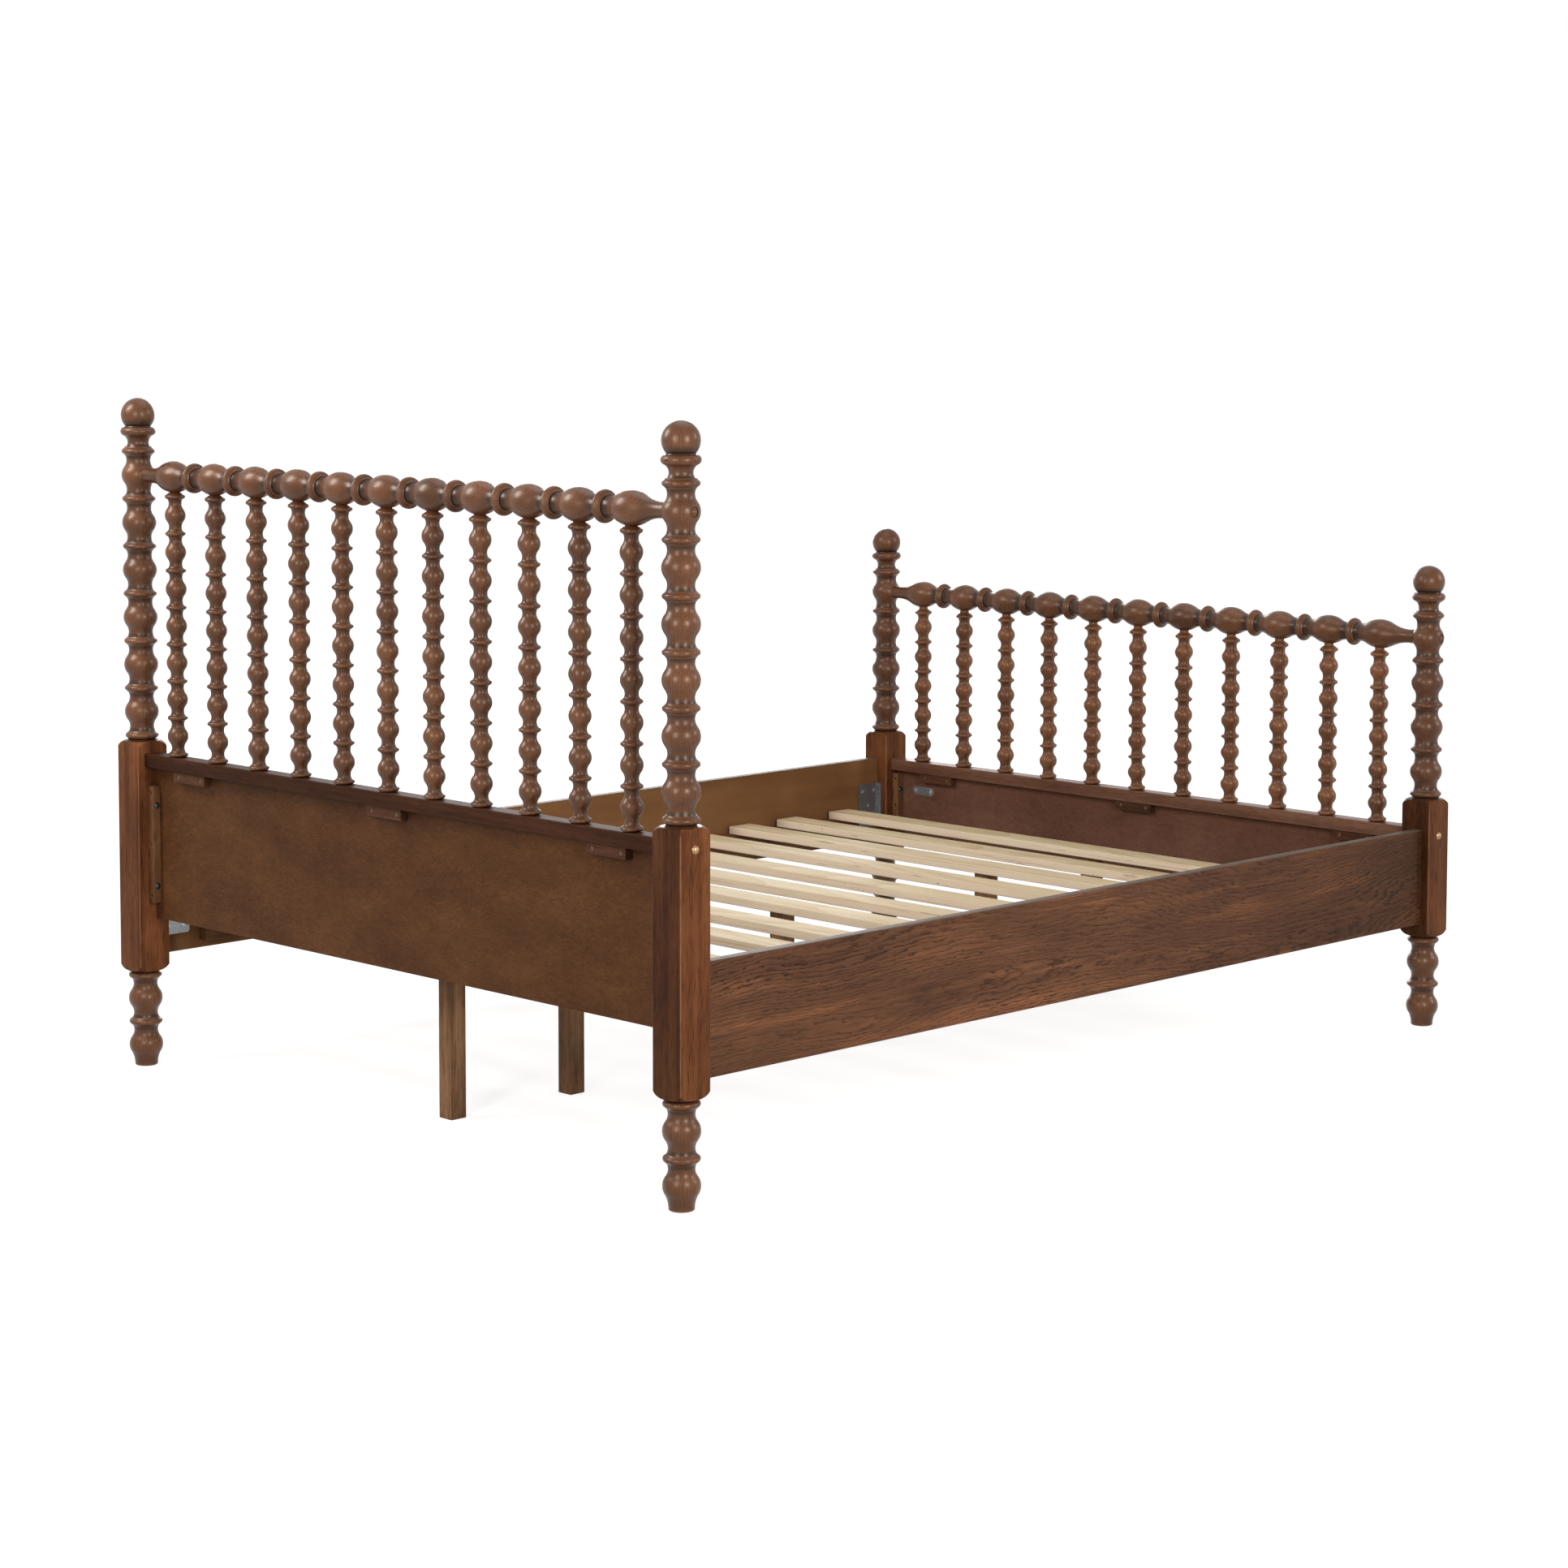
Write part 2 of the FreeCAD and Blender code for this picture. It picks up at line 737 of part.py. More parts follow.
def make_plug(end):
    """Turned wooden button in its round recess on the +X side of a post's top bead."""
    solid = domed_bolt(plug_radius, plug_rise, plug_shank, plug_depth)
    solid.translate(Vector(post_x + post_bead - plug_seat_depth, end.y, end.axis))
    return solid


os.makedirs("parts", exist_ok=True)
saved = []


def save(name, solids):
    shape = solids[0] if len(solids) == 1 else Part.makeCompound(solids)
    shape.exportStep("parts/" + name + ".step")
    saved.append((name, len(shape.Solids), shape.isValid()))


groups = {"glue_blocks": [], "panel_cleats": [], "rail_bolts": [], "cleat_bolts": [], "wood_plugs": []}

for end in (head, foot):
    post = make_post(end)
    save("post_" + end.name + "_right", [post])
    save("post_" + end.name + "_left", [mirrored(post, sideways)])
    save("top_rail_" + end.name, [make_top_rail(end)])
    save("lower_rail_" + end.name, [make_lower_rail(end)])
    save("panel_" + end.name, [make_panel(end)])
    spindle = make_spindle(end)
    for i, x in enumerate(spindle_x):
        copy = spindle.copy()
        copy.translate(Vector(x, end.y, 0))
        save("spindle_" + end.name + "_" + str(i + 1).zfill(2), [copy])

    cleat = make_cleat(end)
    groups["panel_cleats"] += [cleat, mirrored(cleat, sideways)]
    block_x = post_x - block_end_gap
    groups["glue_blocks"] += [make_block(end, x) for x in (-block_x, 0, block_x)]
    bolt = domed_bolt(rail_bolt_head, rail_bolt_dome, rail_bolt_radius, rail_bolt_grip)
    bolt.translate(Vector(post_x + post_half, end.y, end.rail_mid))
    groups["rail_bolts"] += [bolt, mirrored(bolt, sideways)]
    plug = make_plug(end)
    groups["wood_plugs"] += [plug, mirrored(plug, sideways)]
    for level in cleat_levels(end):
        bolt = domed_bolt(cleat_bolt_head, cleat_bolt_dome, cleat_bolt_radius, cleat_bolt_grip)
        bolt.rotate(Vector(0, 0, 0), top, 180)
        bolt.translate(Vector(inner_face - cleat_size, bolt_y(end), level))
        groups["cleat_bolts"] += [bolt, mirrored(bolt, sideways)]

side_rail = make_side_rail()
ledger = make_ledger()
save("side_rail_right", [side_rail])
save("side_rail_left", [mirrored(side_rail, sideways)])
save("ledger_right", [ledger])
save("ledger_left", [mirrored(ledger, sideways)])
for i, y in enumerate(slat_y):
    save("slat_" + str(i + 1).zfill(2), [make_slat(y)])
for i, (slat, side) in enumerate(leg_places):
    save("centre_leg_" + str(i + 1), [make_leg(slat_y[slat] + side * leg_reach)])


def four_corners(shape):
    """The same piece at each corner of the bed."""
    far = mirrored(shape, lengthways)
    return [shape, mirrored(shape, sideways), far, mirrored(far, sideways)]


save("hook_plates", four_corners(make_hook_plate()))
save("slot_plates", four_corners(make_slot_plate()))
for name, solids in groups.items():
    save(name, solids)

for name, count, valid in saved:
    if not valid:
        print("not valid:", name)
print(len(saved), "nodes,", sum(count for _, count, _ in saved), "solids")
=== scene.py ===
import math

import bmesh
import bpy
import numpy as np
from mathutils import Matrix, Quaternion, Vector


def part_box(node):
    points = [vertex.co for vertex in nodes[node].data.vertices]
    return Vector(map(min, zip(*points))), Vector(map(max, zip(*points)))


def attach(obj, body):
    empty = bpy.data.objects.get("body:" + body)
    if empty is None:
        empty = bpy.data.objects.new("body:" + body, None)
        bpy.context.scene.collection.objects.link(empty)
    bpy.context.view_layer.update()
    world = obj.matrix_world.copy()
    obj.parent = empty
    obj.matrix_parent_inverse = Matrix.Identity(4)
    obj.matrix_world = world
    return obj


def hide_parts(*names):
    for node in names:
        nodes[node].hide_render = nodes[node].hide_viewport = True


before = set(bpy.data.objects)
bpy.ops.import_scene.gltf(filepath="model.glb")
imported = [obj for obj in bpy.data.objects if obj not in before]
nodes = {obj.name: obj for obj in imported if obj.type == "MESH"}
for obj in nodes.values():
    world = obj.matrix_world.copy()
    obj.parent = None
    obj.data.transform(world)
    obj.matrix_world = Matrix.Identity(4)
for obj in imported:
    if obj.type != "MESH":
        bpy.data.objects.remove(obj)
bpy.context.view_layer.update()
print("frame loaded:", len(nodes), "nodes")


# Short ways to wire a material's nodes together
class Tree:
    def __init__(self, name):
        self.material = bpy.data.materials.new(name)
        self.material.use_nodes = True
        self.nodes = self.material.node_tree.nodes
        self.links = self.material.node_tree.links
        self.shader = self.nodes["Principled BSDF"]
        self.coordinates = self.nodes.new("ShaderNodeTexCoord")
        self.place = self.coordinates.outputs["Object"]

    def plug(self, value, socket):
        # a link from another node's output, or a plain value
        if isinstance(value, bpy.types.NodeSocket):
            self.links.new(value, socket)
        else:
            socket.default_value = value

    def math(self, operation, a, b=0.0, c=0.0):
        # any of Blender's scalar operations
        node = self.nodes.new("ShaderNodeMath")
        node.operation = operation
        for socket, value in zip(node.inputs, (a, b, c)):
            self.plug(value, socket)
        return node.outputs[0]

    def times(self, a, b):
        return self.math("MULTIPLY", a, b)

    def plus(self, a, b):
        return self.math("ADD", a, b)

    def split(self, vector):
        # the three components as outputs
        node = self.nodes.new("ShaderNodeSeparateXYZ")
        self.plug(vector, node.inputs[0])
        return node.outputs

    def attribute(self, name):
        node = self.nodes.new("ShaderNodeAttribute")
        node.attribute_name = name
        return node.outputs["Fac"]

    def noise(self, along, across, lengthwise, seed, detail=3.0, rough=0.5, twist=0.0):
        # noise whose waves lie "along" an axis: so many per metre across the grain, so many lengthwise
        mapping = self.nodes.new("ShaderNodeMapping")
        scale = [across] * 3
        if along:
            scale["XYZ".index(along)] = lengthwise
        mapping.inputs["Scale"].default_value = scale
        mapping.inputs["Location"].default_value = (seed * 3.7, seed * 1.9, seed * 5.3)
        self.links.new(self.place, mapping.inputs["Vector"])
        node = self.nodes.new("ShaderNodeTexNoise")
        self.links.new(mapping.outputs[0], node.inputs["Vector"])
        node.inputs["Scale"].default_value = 1.0
        node.inputs["Detail"].default_value = detail
        node.inputs["Roughness"].default_value = rough
        node.inputs["Distortion"].default_value = twist
        return node.outputs["Fac"]

    def spread(self, value, low, high, toLow=0.0, toHigh=1.0, smooth=False):
        # the range low to high mapped on toLow to toHigh, and held at both ends
        node = self.nodes.new("ShaderNodeMapRange")
        node.interpolation_type = "SMOOTHSTEP" if smooth else "LINEAR"
        self.plug(value, node.inputs[0])
        for socket, number in zip(node.inputs[1:5], (low, high, toLow, toHigh)):
            socket.default_value = number
        return node.outputs[0]

    def swing(self, noise, low, high):
        # a noise, which mostly lies between 0.3 and 0.7, mapped on low to high
        return self.spread(noise, 0.3, 0.7, low, high)

    def mix(self, amount, a, b):
        # a x (1 - amount) + b x amount, for two colours
        node = self.nodes.new("ShaderNodeMix")
        node.data_type = "RGBA"
        self.plug(amount, node.inputs[0])
        for socket, value in zip((node.inputs[6], node.inputs[7]), (a, b)):
            self.plug(value if isinstance(value, bpy.types.NodeSocket) else (*value, 1.0), socket)
        return node.outputs[2]

    def scaled(self, colour, amount):
        # colour x amount
        node = self.nodes.new("ShaderNodeVectorMath")
        node.operation = "SCALE"
        self.plug(colour, node.inputs[0])
        self.plug(amount, node.inputs["Scale"])
        return node.outputs[0]

    def bump(self, height, distance):
        # height 0 to 1 raises the shading's surface by 0 to that distance
        node = self.nodes.new("ShaderNodeBump")
        node.inputs["Distance"].default_value = distance
        self.links.new(height, node.inputs["Height"])
        self.links.new(node.outputs[0], self.shader.inputs["Normal"])


# Axes of the corner posts either side of the middle, in metres
posts = {"x": 0.7125, "y": 0.975}
warmGloss = (1.0, 0.68, 0.5)


def toned(tree, tone, wood):
    # tone -1 gives the wood's dark colour, 0 its main one and +1 its light one
    upper = tree.mix(tree.spread(tone, 0.0, 1.0), wood["main"], wood["light"])
    return tree.mix(tree.spread(tone, 0.0, -1.0), upper, wood["dark"])


def finishWood(tree, colour, fibres, wood):
    # the colour, a roughness that falls a little where fibres stand up, and the fibres as relief
    tree.plug(colour, tree.shader.inputs["Base Color"])
    rough = wood["roughness"]
    tree.plug(tree.swing(fibres, rough + 0.04, rough - 0.04), tree.shader.inputs["Roughness"])
    tree.shader.inputs["Specular IOR Level"].default_value = wood["specular"]
    tree.shader.inputs["Specular Tint"].default_value = (*wood.get("gloss", warmGloss), 1.0)
    tree.bump(fibres, wood["relief"])
    return tree.material


def growthLines(tree, distance, wood, along, seed):
    # thin darker line at every growth ring: a sawtooth of the warped distance, steep on one side
    warp = tree.noise(along, 22, 5, seed, 3.0, 0.55)
    warped = tree.plus(distance, tree.swing(warp, -wood["warp"], wood["warp"]))
    saw = tree.math("FRACT", tree.times(warped, 1 / wood["ringGap"]))
    return tree.times(tree.spread(saw, 0.25, 0.9), tree.spread(saw, 1.0, 0.93))


# Each pair of lengths, here and in the dictionaries below, says where a change starts and is full
turnedWood = {
    "dark": (0.050, 0.018, 0.008), "main": (0.108, 0.040, 0.016), "light": (0.175, 0.070, 0.029),
    # the crease colour is painted shade in the creases; the rim colour is a painted highlight on convex rims
    # and edges
    "paintedCreaseShade": (0.017, 0.008, 0.005), "rim": (0.265, 0.122, 0.062),
    "ringGap": 0.0042, "warp": 0.004, "roughness": 0.35, "specular": 0.38, "relief": 0.000001,
    # the spindle factors are painted light: lighter at the foot end, a little darker at the head end
    "gloss": (1.0, 0.80, 0.66), "footSpindlesPaintedLight": 1.45, "headSpindlesPaintedLight": 0.95, "shoulder": (0.0355, 0.0375),
    # the cove pairs give distances from the axis where the painted shade in the coves starts and is full
    "postCoveShade": (0.0262, 0.0205), "spindleCoveShade": (0.0145, 0.0112), "railCoveShade": (0.0215, 0.0165),
}


def turnedColour(tree, along, seed, sideways, coveShade):
    # fibres, clouds and growth rings summed to a tone; painted shade in creases and coves, painted highlight
    # on rims
    wood = turnedWood
    fibres = tree.noise(along, 560, 26, seed, 3.0, 0.6)
    clouds = tree.noise(along, 17, 7, seed + 2, 2.0)
    lines = growthLines(tree, sideways, wood, along, seed + 4)
    tone = tree.plus(tree.swing(fibres, -0.42, 0.42), tree.swing(clouds, -0.55, 0.62))
    tone = tree.math("SUBTRACT", tone, tree.times(lines, 0.55))
    colour = toned(tree, tone, wood)
    edge = tree.attribute("fold")
    # painted shade: darker in the coves
    colour = tree.mix(tree.times(coveShade, 0.4), colour, wood["dark"])
    # painted highlight: lighter colour on convex rims and edges
    colour = tree.mix(tree.spread(edge, -0.1, -0.34, 0.0, 0.6), colour, wood["rim"])
    # painted shade: darker in the creases
    colour = tree.mix(tree.spread(edge, 0.0, 0.18, 0.0, 0.9), colour, wood["paintedCreaseShade"])
    return colour, fibres


def axisDistance(tree, a, b):
    # root of a squared plus b squared
    return tree.math("SQRT", tree.plus(tree.times(a, a), tree.times(b, b)))


squareWood = {
    "dark": (0.050, 0.015, 0.006), "main": (0.138, 0.047, 0.017), "light": (0.220, 0.080, 0.029),
    # the face factor below darkens the head and foot faces of the posts where x is below 0, as painted shade
    "worn": (0.24, 0.118, 0.060), "paintedFaceShade": 0.45,
    "corner": (0.0299, 0.0307), "flat": 0.0312, "outside": 0.033,
    "roughness": 0.5, "specular": 0.1, "relief": 0.00003,
}


def squareTone(tree, along, seed):
    # dense short dark pores over soft straight bands
    pores = tree.noise(along, 640, 34, seed, 2.0, 0.6)
    bands = tree.noise(along, 75, 1.6, seed + 1, 3.0, 0.55)
    clouds = tree.noise(along, 16, 5, seed + 2, 2.0)
    tone = tree.plus(tree.swing(bands, -0.5, 0.5), tree.swing(clouds, -0.5, 0.5))
    return tree.math("SUBTRACT", tone, tree.spread(pores, 0.5, 0.68, 0.0, 1.0)), pores


def aboutPost(tree):
    # sideways distances from the nearest post's axis
    x, y, _ = tree.split(tree.place)
    a = tree.math("SUBTRACT", tree.math("ABSOLUTE", x), posts["x"])
    b = tree.math("SUBTRACT", tree.math("ABSOLUTE", y), posts["y"])
    return x, y, a, b


def postWood(name, seed):
    # the turned lengths above and below the square, and plain square stock out on the shoulder
    tree = Tree(name)
    x, y, a, b = aboutPost(tree)
    sideways = tree.plus(tree.times(x, 0.8), tree.times(y, 0.6))
    reach = axisDistance(tree, a, b)
    coveShade = tree.spread(reach, *turnedWood["postCoveShade"], smooth=True)
    colour, fibres = turnedColour(tree, "Z", seed, sideways, coveShade)
    colour = tree.mix(tree.spread(reach, *turnedWood["shoulder"]), colour, squareWood["main"])
    return finishWood(tree, colour, fibres, turnedWood)


def postSquareWood(name, seed):
    # straight-grained square stock; the faces to the head and foot are darker where x is below 0, as painted
    # shade, and the corners are worn to a broken pale line
    tree = Tree(name)
    x, _, a, b = aboutPost(tree)
    tone, pores = squareTone(tree, "Z", seed)
    square = toned(tree, tone, squareWood)
    # painted shade: the faces to the head and foot of the posts where x is below 0 are scaled darker
    onY = tree.math("GREATER_THAN", tree.math("ABSOLUTE", b), tree.math("ABSOLUTE", a))
    shadedFaces = tree.times(onY, tree.math("LESS_THAN", x, 0.0))
    square = tree.scaled(square, tree.spread(shadedFaces, 0.0, 1.0, 1.0, squareWood["paintedFaceShade"]))
    corner = tree.math("MINIMUM", tree.math("ABSOLUTE", a), tree.math("ABSOLUTE", b))
    patchy = tree.noise("Z", 60, 25, seed + 7, 2.0)
    worn = tree.times(tree.spread(corner, *squareWood["corner"]), tree.spread(patchy, 0.3, 0.6, 0.2, 0.8))
    return finishWood(tree, tree.mix(worn, square, squareWood["worn"]), pores, squareWood)


def spindleWood(name, seed, pitch):
    # as the posts, about the nearest of the axes that stand one pitch apart; painted light makes them lighter
    # at the foot end
    tree = Tree(name)
    x, y, _ = tree.split(tree.place)
    a = tree.math("FLOORED_MODULO", tree.plus(x, pitch * 20.5), pitch)
    a = tree.math("SUBTRACT", a, pitch / 2)
    b = tree.math("SUBTRACT", tree.math("ABSOLUTE", y), posts["y"])
    coveShade = tree.spread(axisDistance(tree, a, b), *turnedWood["spindleCoveShade"], smooth=True)
    colour, fibres = turnedColour(tree, "Z", seed, tree.plus(tree.times(x, 0.6), y), coveShade)
    # painted light: the spindles' colour scaled lighter toward the foot end
    level = tree.spread(y, -0.5, 0.5, turnedWood["footSpindlesPaintedLight"], turnedWood["headSpindlesPaintedLight"])
    colour = tree.scaled(colour, level)
    return finishWood(tree, colour, fibres, turnedWood)


def topRailWood(name, seed, height):
    # as the posts, about a level axis at the height given
    tree = Tree(name)
    _, y, z = tree.split(tree.place)
    a = tree.math("SUBTRACT", tree.math("ABSOLUTE", y), posts["y"])
    b = tree.math("SUBTRACT", z, height)
    coveShade = tree.spread(axisDistance(tree, a, b), *turnedWood["railCoveShade"], smooth=True)
    colour, fibres = turnedColour(tree, "X", seed, tree.plus(tree.times(y, 0.8), z), coveShade)
    return finishWood(tree, colour, fibres, turnedWood)


railWood = {
    "dark": (0.060, 0.026, 0.015), "main": (0.138, 0.060, 0.031), "light": (0.262, 0.106, 0.047),
    "pore": (0.022, 0.010, 0.007), "inside": (0.225, 0.106, 0.042), "insideDark": (0.150, 0.066, 0.025),
    # the top colour is a painted sheen along the top edge
    "top": (0.100, 0.074, 0.054), "ringGap": 0.0058, "heart": 0.268, "slope": 0.03, "depth": 0.014,
    # the tones on the next line are painted shade toward the foot and head ends and painted light in the
    # middle
    "footPaintedShade": 0.55, "middlePaintedLight": 1.12, "headPaintedShade": 0.86, "innerFace": (0.7085, 0.7075),
    "topEdge": (0.3800, 0.3812), "roughness": 0.5, "specular": 0.1, "relief": 0.00004,
}


def sideRailWood(name, seed):
    # flat-sawn board: ring count = root(height from the heart squared + depth squared) less slope x length,
    # drawn as broken lines of open pores; painted shade darker to both ends, plain inside and a pale painted
    # sheen along the top edge
    wood = railWood
    tree = Tree(name)
    x, y, z = tree.split(tree.place)
    sway = tree.noise("Y", 1.0, 1.1, seed + 3, 1.0)
    wobble = tree.noise("Y", 10, 1.5, seed, 2.0, 0.45)
    ripple = tree.noise("Y", 90, 18, seed + 6, 3.0, 0.6)
    up = tree.plus(z, tree.swing(sway, -0.06 - wood["heart"], 0.06 - wood["heart"]))
    rings = tree.math("SQRT", tree.plus(tree.times(up, up), wood["depth"] ** 2))
    rings = tree.math("SUBTRACT", rings, tree.times(y, wood["slope"]))
    rings = tree.plus(rings, tree.swing(wobble, -0.015, 0.015))
    rings = tree.times(tree.plus(rings, tree.swing(ripple, -0.0030, 0.0030)), 1 / wood["ringGap"])
    saw = tree.math("FRACT", rings)
    early = tree.times(tree.spread(saw, 0.0, 0.08), tree.spread(saw, 0.42, 0.1))
    dashes = tree.noise("Y", 560, 60, seed + 5, 2.0, 0.6)
    shown = tree.spread(tree.noise("Y", 16, 3.0, seed + 11, 2.0), 0.36, 0.62, 0.25, 1.0)
    pores = tree.times(tree.spread(dashes, 0.33, 0.56), tree.plus(tree.times(early, shown), 0.16))
    fibres = tree.noise("Y", 420, 7, seed + 1, 3.0, 0.65)
    clouds = tree.noise("Y", 12, 3.0, seed + 2, 3.0, 0.55)
    flames = tree.noise("Y", 42, 2.6, seed + 8, 3.0, 0.6)
    tone = tree.plus(tree.swing(fibres, -0.42, 0.42), tree.swing(clouds, -0.6, 0.45))
    tone = tree.plus(tone, tree.spread(flames, 0.5, 0.68, 0.0, 0.7, True))
    tone = tree.plus(tone, tree.spread(saw, 0.0, 1.0, -0.22, 0.16))
    colour = tree.mix(pores, toned(tree, tone, wood), wood["pore"])
    # painted shade darker toward the foot and head ends, painted light in the middle
    paintedShadeToFoot = tree.spread(y, -1.0, 0.0, wood["footPaintedShade"], wood["middlePaintedLight"])
    paintedShadeToHead = tree.spread(y, 0.1, 0.6, 1.0, wood["headPaintedShade"])
    colour = tree.scaled(colour, tree.times(paintedShadeToFoot, paintedShadeToHead))
    inner = tree.spread(tree.math("ABSOLUTE", x), *wood["innerFace"])
    plain = tree.mix(tree.spread(clouds, 0.35, 0.65), wood["insideDark"], wood["inside"])
    colour = tree.mix(inner, colour, plain)
    # painted sheen: a greyish colour along the top edge, broken by a noise
    paintedSheen = tree.swing(tree.noise("Y", 40, 9, seed + 9, 2.0), 0.55, 0.95)
    colour = tree.mix(tree.times(tree.spread(z, *wood["topEdge"]), paintedSheen), colour, wood["top"])
    return finishWood(tree, colour, tree.math("SUBTRACT", fibres, pores), wood)


headPanelWood = {
    "dark": (0.036, 0.013, 0.005), "main": (0.074, 0.028, 0.010), "light": (0.124, 0.052, 0.019),
    "curl": 0.30, "curlGap": 30.0, "roughness": 0.52, "specular": 0.1, "relief": 0.00002,
}
footPanelWood = {
    "dark": (0.070, 0.030, 0.018), "main": (0.122, 0.055, 0.034), "light": (0.180, 0.086, 0.055),
    "curl": 0.15, "curlGap": 20.0, "roughness": 0.52, "specular": 0.1, "relief": 0.00002,
}


def panelWood(name, seed, wood):
    # rotary veneer: soft clouds, short fibres, and fine curls where a slow mask lets them show;
    # the curls are the contour lines of a noise
    tree = Tree(name)
    slow = tree.noise("X", 20, 9, seed, 3.0, 0.5, 0.8)
    curls = tree.math("PINGPONG", tree.times(slow, wood["curlGap"]), 0.5)
    shown = tree.spread(tree.noise("X", 7, 4, seed + 4, 2.0), 0.42, 0.6)
    fibres = tree.noise("X", 420, 90, seed + 1, 3.0, 0.65)
    clouds = tree.noise("X", 9, 5, seed + 2, 4.0, 0.6)
    flecks = tree.noise("X", 120, 45, seed + 3, 2.0, 0.6)
    tone = tree.plus(tree.swing(fibres, -0.38, 0.38), tree.spread(clouds, 0.32, 0.68, -0.45, 0.45))
    tone = tree.plus(tone, tree.spread(flecks, 0.35, 0.65, -0.16, 0.16))
    tone = tree.plus(tone, tree.times(tree.spread(curls, 0.0, 0.5, -wood["curl"], wood["curl"]), shown))
    return finishWood(tree, toned(tree, tone, wood), fibres, wood)


# the head end's lower rail is coloured far darker than the foot end's, as painted shade on its seen face
shadedHeadRailWood = {
    "dark": (0.018, 0.007, 0.004), "main": (0.034, 0.012, 0.006), "light": (0.060, 0.023, 0.012),
    "roughness": 0.6, "specular": 0.07, "relief": 0.00003,
}
footRailWood = {
    "dark": (0.060, 0.024, 0.013), "main": (0.115, 0.050, 0.030), "light": (0.170, 0.078, 0.048),
    "roughness": 0.34, "specular": 0.4, "relief": 0.00002,
}
blockWood = {
    "dark": (0.028, 0.011, 0.006), "main": (0.060, 0.024, 0.012), "light": (0.105, 0.044, 0.022),
    "roughness": 0.55, "specular": 0.1, "relief": 0.00003,
}
battenWood = {
    "dark": (0.055, 0.022, 0.009), "main": (0.120, 0.052, 0.022), "light": (0.200, 0.098, 0.044),
    "roughness": 0.5, "specular": 0.15, "relief": 0.00004,
}
legWood = {
    "dark": (0.095, 0.045, 0.021), "main": (0.240, 0.125, 0.063), "light": (0.380, 0.220, 0.118),
    # the far factor is painted shade on the legs away from the head end
    "farPaintedShade": 0.78, "roughness": 0.55, "specular": 0.1, "relief": 0.00005,
}


def boardWood(name, along, seed, wood):
    # straight bands and pores along one axis; where a far painted shade is given, the wood is darker away from
    # the head end
    tree = Tree(name)
    tone, pores = squareTone(tree, along, seed)
    y = tree.split(tree.place)[1]
    # painted shade: darker where y is below the head end's legs
    level = tree.spread(y, 0.65, 0.75, wood.get("farPaintedShade", 1.0), 1.0)
    return finishWood(tree, tree.scaled(toned(tree, tree.plus(tone, 0.2), wood), level), pores, wood)


slatWood = {
    "dark": (0.520, 0.370, 0.200), "main": (0.640, 0.500, 0.300), "light": (0.720, 0.595, 0.400),
    # the sawn colour is paler than the tops, partly as sawn wood and partly as painted light
    "sawnAndPaintedLight": (0.800, 0.640, 0.460), "line": (0.560, 0.350, 0.210), "streak": (0.300, 0.160, 0.080),
    "knot": (0.150, 0.070, 0.032), "roughness": 0.6, "specular": 0.15, "relief": 0.00004,
}


def softWood(name, seed):
    # pale boards: smooth clouded tops with the slanting ends of joined lengths, sawn sides with long
    # reddish lines, paler than the tops partly as sawn wood and partly as painted light, and here and there a
    # thin brown dash or a pin knot
    wood = slatWood
    tree = Tree(name)
    x, y, _ = tree.split(tree.place)
    lines = tree.noise("X", 420, 2.4, seed, 3.0, 0.6)
    clouds = tree.noise("X", 22, 1.6, seed + 1, 3.0, 0.5)
    lengths = tree.noise("X", 5, 1.2, seed + 3, 0.0)
    slanting = tree.times(tree.plus(x, tree.times(y, 1.7)), 0.35)
    joined = tree.math("FRACT", tree.times(tree.plus(lengths, slanting), 9.0))
    tone = tree.plus(tree.swing(lines, -0.2, 0.2), tree.swing(clouds, -0.55, 0.55))
    tone = tree.plus(tone, tree.spread(joined, 0.0, 1.0, -0.4, 0.5))
    normal = tree.split(tree.coordinates.outputs["Normal"])
    # the sides facing along y take the sawn colour: sawn wood with painted light
    side = tree.spread(tree.math("ABSOLUTE", normal[1]), 0.5, 0.9)
    sawnAndPaintedLight = tree.mix(tree.spread(lines, 0.56, 0.70, 0.0, 0.85), wood["sawnAndPaintedLight"], wood["line"])
    colour = tree.mix(side, toned(tree, tone, wood), sawnAndPaintedLight)
    where = tree.spread(tree.noise("X", 12, 2.6, seed + 5, 1.0), 0.48, 0.6)
    dashes = tree.spread(tree.noise("X", 260, 11, seed + 6, 2.0, 0.6), 0.62, 0.70, 0.0, 0.85)
    colour = tree.mix(tree.times(dashes, where), colour, wood["streak"])
    knots = tree.spread(tree.noise("X", 110, 55, seed + 8, 1.0), 0.79, 0.82, 0.0, 0.9)
    colour = tree.mix(knots, colour, wood["knot"])
    return finishWood(tree, colour, lines, wood)


metals = {
    "zinc": {
        "colour": (0.20, 0.215, 0.225), "bright": (0.32, 0.335, 0.345), "roughness": 0.42, "metallic": 1.0,
    },
    "screwZinc": {
        "colour": (0.42, 0.43, 0.45), "bright": (0.66, 0.67, 0.69), "roughness": 0.28, "metallic": 1.0,
    },
    "brass": {
        "colour": (0.28, 0.165, 0.085), "bright": (0.40, 0.25, 0.13), "roughness": 0.36, "metallic": 1.0,
    },
    "bronzeScrew": {
        "colour": (0.10, 0.060, 0.035), "bright": (0.20, 0.125, 0.08), "roughness": 0.38, "metallic": 0.8,
    },
    "blackSteel": {
        "colour": (0.014, 0.014, 0.014), "bright": (0.035, 0.033, 0.032), "roughness": 0.34, "metallic": 0.6,
    },
}
metalRelief = 0.00001


